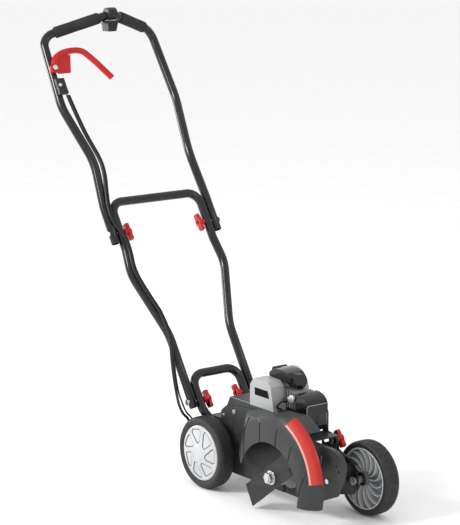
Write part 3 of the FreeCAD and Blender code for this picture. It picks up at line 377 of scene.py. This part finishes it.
DOWN_ANGLE = math.radians(57.9)
FOLD_LOW = Vector((-0.062, 0, 0.201))
ALONG = Vector((-math.cos(DOWN_ANGLE), 0, math.sin(DOWN_ANGLE)))
NORMAL = Vector((math.sin(DOWN_ANGLE), 0, math.cos(DOWN_ANGLE)))


def on_handle(along, y, off=0.0):
    """A point on the handle's plane, from millimetres up it, across it and off it."""
    return FOLD_LOW + ALONG * along * MM + Vector((0, y * MM, 0)) + NORMAL * off * MM


def both_sides(points):
    return points + [Vector((p.x, -p.y, p.z)) for p in reversed(points)]


GRIP_CORNER = Vector((-0.603, -0.168, 1.056))
GRIP_PEAK = Vector((-0.534, 0, 1.112))


def make_handles():
    half = [on_handle(-96, -58.5), on_handle(-50, -58.5), on_handle(-24, -70.5), on_handle(67, -70.5)]
    frame_tube("lower_tube", "lower_handle", both_sides(half), [r * MM for r in (50, 50, 34, 34, 50, 50)])
    half = [on_handle(-15, -93.2), on_handle(179, -93.2), on_handle(345, -144), on_handle(412, -135),
            on_handle(541, -135)]
    frame_tube("middle_tube", "middle_handle", both_sides(half),
               [r * MM for r in (150, 110, 110, 34, 34, 110, 110, 150)])
    half = [on_handle(432, -157.3), on_handle(530, -157.3), on_handle(650, -146.5, 8),
            on_handle(813, -177, -7), GRIP_CORNER]
    points = half + [GRIP_PEAK] + [Vector((p.x, -p.y, p.z)) for p in reversed(half)]
    radii = [200, 200, 160, 34]
    frame_tube("upper_tube", "upper_handle", points, [r * MM for r in radii + [60] + radii[::-1]])


def make_grips():
    for label, sign in (("right", -1), ("left", 1)):
        corner = Vector((GRIP_CORNER.x, sign * abs(GRIP_CORNER.y), GRIP_CORNER.z))
        line = GRIP_PEAK - corner
        begin = corner + line * 0.18
        count = 64
        path = [begin + line * 0.64 * (i / count) for i in range(count + 1)]

        def radius(i, angle, path=path):
            u = i / count
            lip = 1.0 - 0.10 * (1 - smooth_step(0, 0.03, u)) - 0.10 * smooth_step(0.97, 1, u)
            swell = 0.35 * math.sin(u * 9 + 1) + 0.5 * noise.noise(path[i] * 160 + Vector((angle, 0, 0)))
            return (14.6 * lip + 0.4 * swell) * MM
        verts, faces, rings = sweep(path, radius, 40, wall=True)
        for ring, point in ((rings[0], path[0]), (rings[-1], path[-1])):
            inner = len(verts)
            for k in ring:
                verts.append(point + (verts[k] - point).normalized() * 11.15 * MM)
            faces += [(ring[k], ring[(k + 1) % 40], inner + (k + 1) % 40, inner + k) for k in range(40)]
        new_piece("foam_" + label, mesh_of("foam_" + label, verts, faces, FOAM), "handle_upper", "foam",
                  "grip_" + label)


# ---------------------------------------------------------------- wheels

def make_tyre(node, x, y, z, rim, tread_depth):
    outline = [(rim, -19.4), (rim + 2.6, -20.9), (rim + 5.0, -20.6), (rim + 6.4, -21.5), (80.0, -22.0),
               (83.4, -21.0), (86.2, -18.2), (87.9, -14.8)]
    rows = [(-14.8 + 29.6 * k / 26) for k in range(27)]
    tread = [(88.8 - 0.9 * (abs(row) / 14.8) ** 2, row) for row in rows]
    profile = outline[:-1] + tread + [(r, -p) for r, p in reversed(outline[:-1])]
    profile += [(rim, 10.0), (rim, -10.0)]
    profile = [(r * MM, p * MM) for r, p in profile]
    blocks = 32

    def grooves(angle, radius, across):
        if radius < 0.0868:
            return 0.0
        turn = angle * blocks / math.tau
        wave = 1.5 * MM * math.sin(turn * math.tau / 2)
        ways = [abs(across - wave - side * 4.9 * MM) for side in (-1, 1)]
        row = 0 if across < wave - 4.9 * MM else (1 if across < wave + 4.9 * MM else 2)
        slant = (across / MM) * 0.045 * (1 if row == 1 else -1)
        phase = (turn + slant + (0.5 if row == 1 else 0.0)) % 1.0
        ways.append(min(phase, 1 - phase) * math.tau / blocks * radius)
        near = min(ways)
        return tread_depth * MM * (1 - smooth_step(0.8 * MM, 1.5 * MM, near))
    verts, faces = turned(profile, (x, y, z), 720, grooves)
    new_piece(node + "_tread", mesh_of(node, verts, faces, RUBBER), BODY_OF[node], "tyre_rubber", node)


POCKETS = 7
POCKET_CORNERS = [(60.5, 21.0), (58.5, -15.0), (25.0, -16.0)]   # radius and degrees, on a 69 mm rim
POCKET_ROUND = 6.5


def pocket_depth(r, angle, scale):
    """Millimetres inside (+) or outside (-) the nearest rounded pocket."""
    pitch = math.tau / POCKETS
    turn = (angle + pitch / 2) % pitch - pitch / 2
    px, pz = r * math.cos(turn), r * math.sin(turn)
    corners = [(R * scale * math.cos(math.radians(a)), R * scale * math.sin(math.radians(a)))
               for R, a in POCKET_CORNERS]
    centre = (sum(c[0] for c in corners) / 3, sum(c[1] for c in corners) / 3)
    shrunk = []
    for cx, cz in corners:
        away = math.hypot(cx - centre[0], cz - centre[1])
        pull = 1.35 * POCKET_ROUND / away
        shrunk.append((cx + (centre[0] - cx) * pull, cz + (centre[1] - cz) * pull))
    near, inside = 1e9, True
    for (ax, az), (bx, bz) in zip(shrunk, shrunk[1:] + shrunk[:1]):
        ex, ez = bx - ax, bz - az
        u = max(0.0, min(1.0, ((px - ax) * ex + (pz - az) * ez) / (ex * ex + ez * ez)))
        near = min(near, math.hypot(px - ax - u * ex, pz - az - u * ez))
        inside = inside and (ex * (pz - az) - ez * (px - ax)) < 0
    return POCKET_ROUND + (near if inside else -near)


def make_hub(node, x, y, z, rim, sign):
    """The hubcap with its swirl pockets, the drum, and the ribbed cone on the wheel's other face."""
    steps, rings = 504, 88
    top = rim - 1.2
    verts, faces, shade = [], [], []

    def height(r, angle):
        base = 27.9 - 1.2 * smooth_step(17.5, 20.5, r) - 5.5 * smooth_step(20.0, top - 7, r)
        base -= 1.6 * smooth_step(top - 3.0, top, r)
        depth = pocket_depth(r, angle, rim / 69.0)
        line = 1 - smooth_step(0.6, 1.5, abs(depth))
        return base - 1.1 * smooth_step(-0.4, 0.6, depth) - 0.9 * line, line
    for j in range(rings + 1):
        r = 2.0 + (top - 2.0) * j / rings
        for i in range(steps):
            angle = math.tau * i / steps
            h, cut = height(r, angle if sign < 0 else math.pi - angle)
            verts.append(Vector((x + r * MM * math.cos(angle), y + sign * h * MM,
                                 z + r * MM * math.sin(angle))))
            shade.append(cut)
    for j in range(rings):
        for i in range(steps):
            n = (i + 1) % steps
            faces.append((j * steps + i, j * steps + n, (j + 1) * steps + n, (j + 1) * steps + i))
    centre = len(verts)
    verts.append(Vector((x, y + sign * 27.9 * MM, z)))
    faces += [(i, (i + 1) % steps, centre) for i in range(steps)]
    outer = rings * steps
    skirt = len(verts)
    for i in range(steps):
        p = verts[outer + i]
        verts.append(Vector((p.x, y + sign * 12 * MM, p.z)))
    faces += [(outer + i, outer + (i + 1) % steps, skirt + (i + 1) % steps, skirt + i) for i in range(steps)]
    mesh = mesh_of(node + "_cap", verts, faces, SILVER, SILVER_PAINTED_SHADE)
    shade += [0.0] * (len(verts) - len(shade))
    # Faces along the pocket outline grooves are cut deeper and take the dark silver as painted shade.
    for face in mesh.polygons:
        mean = sum(shade[i] for i in face.vertices) / len(face.vertices)
        if mean > 0.3:
            face.material_index = 1
    new_piece(node + "_cap", mesh, BODY_OF[node], SLOT_OF[node], node)

    inner = -sign
    lip = [(rim - 0.05, 19.5), (rim - 0.8, 20.6), (rim - 2.4, 20.8), (rim - 3.4, 19.8), (rim - 3.6, 11),
           (16.5, 4.0), (16.5, 21.5), (15.0, 23.3), (9.5, 23.3), (9.0, 22.5), (6.5, 22.5), (6.5, -10),
           (rim - 3.6, -10), (rim - 0.05, -12)]
    profile = [(r * MM, inner * p * MM) for r, p in lip]
    verts, faces = turned(profile, (x, y, z), 144)
    mesh = mesh_of(node + "_drum", verts, faces, SILVER, BLACK_PLASTIC, CONE_PAINTED_SHADE)
    # The hub boss is black plastic; the cone between the ribs takes the darker silver as painted shade.
    for face in mesh.polygons:
        p = face.center
        out = math.hypot(p.x - x, p.z - z)
        face.material_index = 1 if out < 16.4 * MM else (2 if out < (rim - 5) * MM else 0)
    drum = new_piece(node + "_drum", mesh, BODY_OF[node], SLOT_OF[node])
    bevelled(drum, 0.4 * MM)

    verts, faces = [], []
    count, samples, thick = 15, 16, 2.3
    for k in range(count):
        start = len(verts)
        for j in range(samples + 1):
            u = j / samples
            r = 15.5 + (rim - 3.2 - 15.5) * u
            angle = math.tau * k / count + 0.50 * u * u * sign
            low, high = 2.0 + 6.8 * u, 12.5 + 7.6 * u ** 0.8
            wide = thick * (0.75 + 0.6 * u)
            for across, tall in ((-wide, low), (-wide * 0.55, high), (wide * 0.55, high), (wide, low)):
                a = angle + across / r
                verts.append(Vector((x + r * MM * math.cos(a), y + inner * tall * MM,
                                     z + r * MM * math.sin(a))))
        for j in range(samples):
            for m in range(4):
                n = (m + 1) % 4
                a, b = start + 4 * j, start + 4 * (j + 1)
                faces.append((a + m, a + n, b + n, b + m))
        faces += [tuple(start + m for m in range(4)), tuple(start + 4 * samples + m for m in range(4))]
    ribs = new_piece(node + "_ribs", mesh_of(node + "_ribs", verts, faces, SILVER), BODY_OF[node],
                     SLOT_OF[node])
    bevelled(ribs, 0.6 * MM)


# ---------------------------------------------------------------- cables

def cord_mesh(name, points, radius, stands_for):
    """A smooth cable that follows a NURBS line through its control points."""
    curve = bpy.data.curves.new(name + "_line", "CURVE")
    curve.dimensions = "3D"
    spline = curve.splines.new("NURBS")
    spline.points.add(len(points) - 1)
    for control, p in zip(spline.points, points):
        control.co = (*p, 1)
    spline.order_u = 3
    spline.use_endpoint_u = True
    spline.resolution_u = 10
    curve.bevel_depth = radius
    curve.bevel_resolution = 4
    curve.use_fill_caps = True
    holder = bpy.data.objects.new(name + "_holder", curve)
    bpy.context.collection.objects.link(holder)
    bpy.context.view_layer.update()
    graph = bpy.context.evaluated_depsgraph_get()
    mesh = bpy.data.meshes.new_from_object(holder.evaluated_get(graph))
    bpy.data.objects.remove(holder)
    mesh.materials.clear()
    mesh.materials.append(CABLE)
    mesh.polygons.foreach_set("use_smooth", [True] * len(mesh.polygons))
    piece = bpy.data.objects.new(name, mesh)
    bpy.context.collection.objects.link(piece)
    if stands_for:
        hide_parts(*stands_for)
    return piece


def make_cables():
    upper = [(838, -163, 13), (800, -158, 11), (738, -148.5, 9), (703, -142, 10.5), (650, -133.5, 16.5),
             (606, -139, 19), (560, -151, 18), (522, -158, 16.8), (487, -158.5, 16.5)]
    middle = [(440, -138, 16.5), (405, -136.5, 16.4), (352, -145, 16.6), (296, -131, 16.8),
              (240, -112, 16.6), (184, -103, 16.2), (148, -108, 12), (112, -114, 4), (66, -120, -4),
              (30, -121, -12)]
    lower = [(-80, -121, 197), (-69, -118, 175), (-76, -96, 157), (-82, -85, 141), (-86, -70, 132),
             (-76, -55, 128), (-62, -43, 128), (-51, -38, 130)]
    split = 5
    beside = [(px + 5, py + 7.5, pz + 2) if py < -50 else (px, py + 7, pz + 5) for px, py, pz in lower]
    for label, radius, across, last_run, stands_high, stands_low in (
            ("clutch_cable", 3.5, 0.0, lower, ["cables_upper"], ["cables_middle", "cables_lower"]),
            ("throttle_cable", 2.3, 6.6, beside, [], [])):
        high = [on_handle(s, y + across, off) for s, y, off in upper + middle[:split]]
        low = [on_handle(s, y + across, off) for s, y, off in middle[split - 1:]]
        low += [Vector(point) * MM for point in last_run]
        first = cord_mesh(label + "_upper", high, radius * MM, stands_high)
        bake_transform(first)
        second = cord_mesh(label + "_lower", low, radius * MM, stands_low)
        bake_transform(second)


# ---------------------------------------------------------------- everything else

SPRING_END = Vector((0.060, -0.044, 0.150))


def coil_spring(node, radius, turns):
    """A wire coil from SPRING_END to the far top corner of the node's box."""
    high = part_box(node)[1]
    start = SPRING_END
    far = Vector((high.x, start.y, high.z))
    line = far - start
    side = Vector((0, 1, 0))
    other = line.normalized().cross(side)
    steps = turns * 20
    path = []
    for i in range(steps + 1):
        u = i / steps
        a = math.tau * turns * u
        path.append(start + line * (0.02 + 0.93 * u) + (side * math.cos(a) + other * math.sin(a)) * radius)
    verts, faces, _ = sweep(path, lambda i, a: 0.55 * MM, 8)
    new_piece(node + "_coil", mesh_of(node, verts, faces, ZINC), BODY_OF[node], SLOT_OF[node], node)


ARCH = (281.0, 74.0)
RADIAL_GROOVES = [[(153, 104), (129, 146), (118, 170)], [(108, 104), (102, 152)], [(76, 104), (78, 148)],
                  [(47, 104), (54, 142)], [(-6, 104), (28, 153)]]
BASE_GROOVES = [[(65, 198), (33, 84)], [(93, 174), (61, 96), (73, 80)]]
GROOVE_REACH = 2.25                             # half a groove's width and a little over


def in_groove(point, normal):
    """1 for the walls and floors of the guard's pressed grooves, which take near-black painted shade."""
    px, pz = point.x / MM, point.z / MM
    routes = [[(ARCH[0] + r * math.cos(math.radians(a)), ARCH[1] + r * math.sin(math.radians(a)))
               for a, r in route] for route in RADIAL_GROOVES] + BASE_GROOVES
    for route in routes:
        for (ax, az), (bx, bz) in zip(route, route[1:]):
            ex, ez = bx - ax, bz - az
            u = max(0.0, min(1.0, ((px - ax) * ex + (pz - az) * ez) / (ex * ex + ez * ez)))
            if math.hypot(px - ax - u * ex, pz - az - u * ez) < GROOVE_REACH:
                return 1
    return 0


BLADE_TURN = math.radians(217.0)
SPINDLE = (0.275, 0.0945)


def pocket_wall(point, normal):
    """1 for the two end walls of each ground pocket in the blade, which take a painted glint."""
    along = abs(normal.x * math.cos(BLADE_TURN) + normal.z * math.sin(BLADE_TURN))
    out = math.hypot(point.x - SPINDLE[0], point.z - SPINDLE[1]) / MM
    return 1 if along > 0.9 and 70 < out < 108 else 0


# A thin light tube painted as a highlight along an edge.
def highlight_line(name, points, radius, slot):
    verts, faces, _ = sweep([Vector(p) * MM for p in points], lambda i, a: radius * MM, 10)
    new_piece(name, mesh_of(name, verts, faces, EDGE_HIGHLIGHT), "chassis", slot)


def thin_block(name, front, back, mat, slot, soft):
    """A block between two four-cornered outlines, with softened edges."""
    faces = [(0, 1, 2, 3), (4, 5, 6, 7)] + [(k, (k + 1) % 4, 4 + (k + 1) % 4, 4 + k) for k in range(4)]
    bevelled(new_piece(name, mesh_of(name, front + back, faces, mat), "chassis", slot), soft)


DECK_TOP, NOSE_TOP = 229.0, 200.2
RIM_TOP, RIM_FOOT, RIM_CORNER = 258.0, 199.0, 7.0
PANEL_Y, PANEL_Z = (0, 28), (207, 235)


def make_edge_highlights_and_panel():
    """Thin light lines painted as highlights along the pressed edges of the deck plate and the muffler
    guard, and the guard's panel.
    """
    low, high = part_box("muffler_guard")
    x, near, far = high.x / MM, low.y / MM + 1, high.y / MM - 1
    corner = [(x, near + RIM_CORNER * (1 - math.cos(a)), RIM_TOP - RIM_CORNER * (1 - math.sin(a)))
              for a in [math.pi / 2 * k / 8 for k in range(9)]]
    highlight_line("muffler_guard_rim_highlight", [(x, near, RIM_FOOT)] + corner + [(x, far, RIM_TOP)], 0.8,
              "gloss_black_metal")
    (y1, y2), (z1, z2) = PANEL_Y, PANEL_Z
    back, front = [[Vector((x + out, y, z)) * MM for y, z in ((y1, z1), (y2, z1), (y2, z2), (y1, z2))]
                   for out in (-0.4, 0.7)]
    thin_block("muffler_guard_panel", back, front, CHARCOAL, "gloss_black_metal", 0.4 * MM)
    highlight_line("muffler_panel_edge_highlight", [(x + 0.6, y2, z1), (x + 0.6, y2, z2)], 0.6, "gloss_black_metal")
    top = min(DECK_TOP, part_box("deck_frame")[1].z / MM)
    highlight_line("deck_edge_highlight", [(38, -52, top), (261, -52, top), (291, -52, NOSE_TOP)], 0.7, "grey_paint")


BADGE = ((0.1415, 0.2765), (0.1925, 0.2765), (0.1985, 0.2565), (0.1415, 0.2565))    # x, z of its corners
BADGE_INWARD = ((1, -1), (-1, -1), (-1.3, 1), (1, 1))


def make_badge():
    """A plain dark plate on the shroud's side, with a thin light rim."""
    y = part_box("engine_shroud")[0].y
    for label, shrink, out, mat in (("badge_rim", 0.0, 0.5, SILVER), ("badge_plate", 0.8, 0.9, BLACK_AND_GROOVE_SHADE)):
        outline = [(px + across * shrink * MM, pz + up * shrink * MM)
                   for (px, pz), (across, up) in zip(BADGE, BADGE_INWARD)]
        back, front = [[Vector((px, y + off * MM, pz)) for px, pz in outline] for off in (0.3, -out)]
        thin_block(label, back, front, mat, "black_plastic", 0.25 * MM)


def make_finish():
    for node, mat, width in (
            ("spindle_housing", CAST, 0.5), ("spindle_bearings", ZINC, 0.2), ("blade_spindle", ZINC, 0.4),
            ("spindle_pulley", ZINC, 0.3), ("drive_belt", BELT, 0.6), ("idler_arm", ZINC, 0.3),
            ("idler_pulley", BLACK_PLASTIC, 0.6), ("engine_crankcase", CAST, 0.8),
            ("engine_cylinder", CAST, 0.3), ("crankshaft", ZINC, 0.3), ("drive_pulley", ZINC, 0.3),
            ("flywheel", CAST, 0.6),
            ("starter_housing", SHROUD, 1.0), ("muffler", DARK_STEEL, 2.0), ("spark_plug", CERAMIC, 0.3),
            ("spark_plug_lead", CABLE, 0.4), ("rear_axle", ZINC, 0.6), ("axle_push_nuts", ZINC, 0.4),
            ("front_arm_bolts", ZINC, 0.6), ("cross_shaft", BLACK_TUBE, 0.6),
            ("front_wheel_arm", BLACK_TUBE, 0.8), ("lower_handle_bolts", ZINC, 0.7),
            ("middle_handle_bolts", ZINC, 0.7), ("lever_fasteners", ZINC, 0.6), ("blade_nut", ZINC, 0.6),
            ("deck_fasteners", ZINC, 0.6), ("fuel_cap", BLACK_PLASTIC, 1.2),
            ("starter_grip", BLACK_PLASTIC, 0.6), ("throttle_lever", BLACK_PLASTIC, 0.8),
            ("cable_bracket", BLACK_PLASTIC, 1.2)):
        refine(node, mat, width)
    for label in ("lower_right", "lower_left", "upper_right", "upper_left"):
        refine("knob_" + label, RED, 1.6, 3)
    refine("depth_knob", RED, 1.6, 3)
    refine("clutch_lever", RED, 1.4, 3)
    refine("throttle_box", BLACK_PLASTIC, 1.2)
    # The blade pockets' end walls take the near-white painted glint.
    refine("blade", DARK_STEEL, 0.35, paint=pocket_wall, second=PAINTED_GLINT_STEEL)
    refine("guard_stripe", STRIPE, 0.3)
    refine("engine_shroud", SHROUD, 0.6, big=4.0, large=200)
    refine("air_filter_cover", GLOSS_BLACK, 0.8, big=4.0, large=150, drop_inner=True)
    refine("muffler_guard", GLOSS_BLACK, 0.7, big=5.0, large=300, drop_inner=True)
    refine("fuel_tank", BLACK_PLASTIC, 0.8, big=4.0, large=300, drop_inner=True)
    refine("deck_frame", DECK_GREY, 0.5)
    # The guard's groove walls and floors take the near-black painted shade.
    refine("blade_guard", CHARCOAL, 0.6, paint=in_groove, second=BLACK_AND_GROOVE_SHADE)
    coil_spring("idler_spring", 2.4 * MM, 16)


# ---------------------------------------------------------------- stage

def soft_light(name, place, aim, size, power):
    lamp = bpy.data.lights.new(name, "AREA")
    lamp.size = size
    lamp.energy = power
    holder = bpy.data.objects.new(name, lamp)
    holder.location = place
    holder.rotation_euler = (Vector(aim) - Vector(place)).to_track_quat("-Z", "Y").to_euler()
    bpy.context.collection.objects.link(holder)


FLOOR_REACH, FLOOR_Z = 40.0, -0.0004


def make_stage():
    white = material("floor_white", (0.90, 0.90, 0.90), (0.93, 0.93, 0.93), 0.9, specular=0.1, grain=30,
                     bump=0.0)
    corners = [(FLOOR_REACH * a, FLOOR_REACH * b, FLOOR_Z) for a, b in ((-1, -1), (1, -1), (1, 1), (-1, 1))]
    floor_mesh = mesh_of("floor", corners, [(0, 1, 2, 3)], white)
    floor = bpy.data.objects.new("floor", floor_mesh)
    bpy.context.collection.objects.link(floor)
    world = bpy.data.worlds.new("studio")
    world.use_nodes = True
    world.node_tree.nodes["Background"].inputs["Color"].default_value = (1, 1, 1, 1)
    world.node_tree.nodes["Background"].inputs["Strength"].default_value = 1.0
    bpy.context.scene.world = world
    aim = (0.0, 0.0, 0.5)
    soft_light("key", (-0.7, -3.6, 2.8), aim, 1.0, 120)
    soft_light("side", (3.6, 1.2, 2.4), aim, 0.7, 14)
    soft_light("rim", (-3.2, -1.4, 0.9), aim, 0.8, 30)
    camera = bpy.data.objects.new("camera", bpy.data.cameras.new("camera"))
    back = Vector((0.7815, -0.5916, 0.1983)).normalized()
    right = Vector((0.6036, 0.7973, 0.0)).normalized()
    up = back.cross(right)
    turn = Matrix((right, up, back)).transposed().to_4x4()
    camera.matrix_world = Matrix.Translation((3.9579, -3.0243, 1.5544)) @ turn
    camera.data.sensor_width = 36.0
    camera.data.lens = 144.1
    camera.data.shift_x = 0.0028
    camera.data.shift_y = 0.0005
    bpy.context.collection.objects.link(camera)
    bpy.context.scene.camera = camera
    bpy.context.scene.view_settings.view_transform = "Standard"


AXLE_Z = 0.0889
REAR_RIM, FRONT_RIM = 69.0, 73.5
REAR_Y, FRONT_X, FRONT_Y = 0.0944, 0.3964, 0.083

make_stage()
make_cables()
make_handles()
make_grips()
for side, sign in (("right", -1), ("left", 1)):
    make_tyre("tyre_rear_" + side, 0.0, sign * REAR_Y, AXLE_Z, REAR_RIM, 0.6)
    make_hub("hub_rear_" + side, 0.0, sign * REAR_Y, AXLE_Z, REAR_RIM, sign)
make_tyre("tyre_front", FRONT_X, FRONT_Y, AXLE_Z, FRONT_RIM, 1.8)
make_hub("hub_front", FRONT_X, FRONT_Y, AXLE_Z, FRONT_RIM, 1)
make_finish()
make_badge()
make_edge_highlights_and_panel()
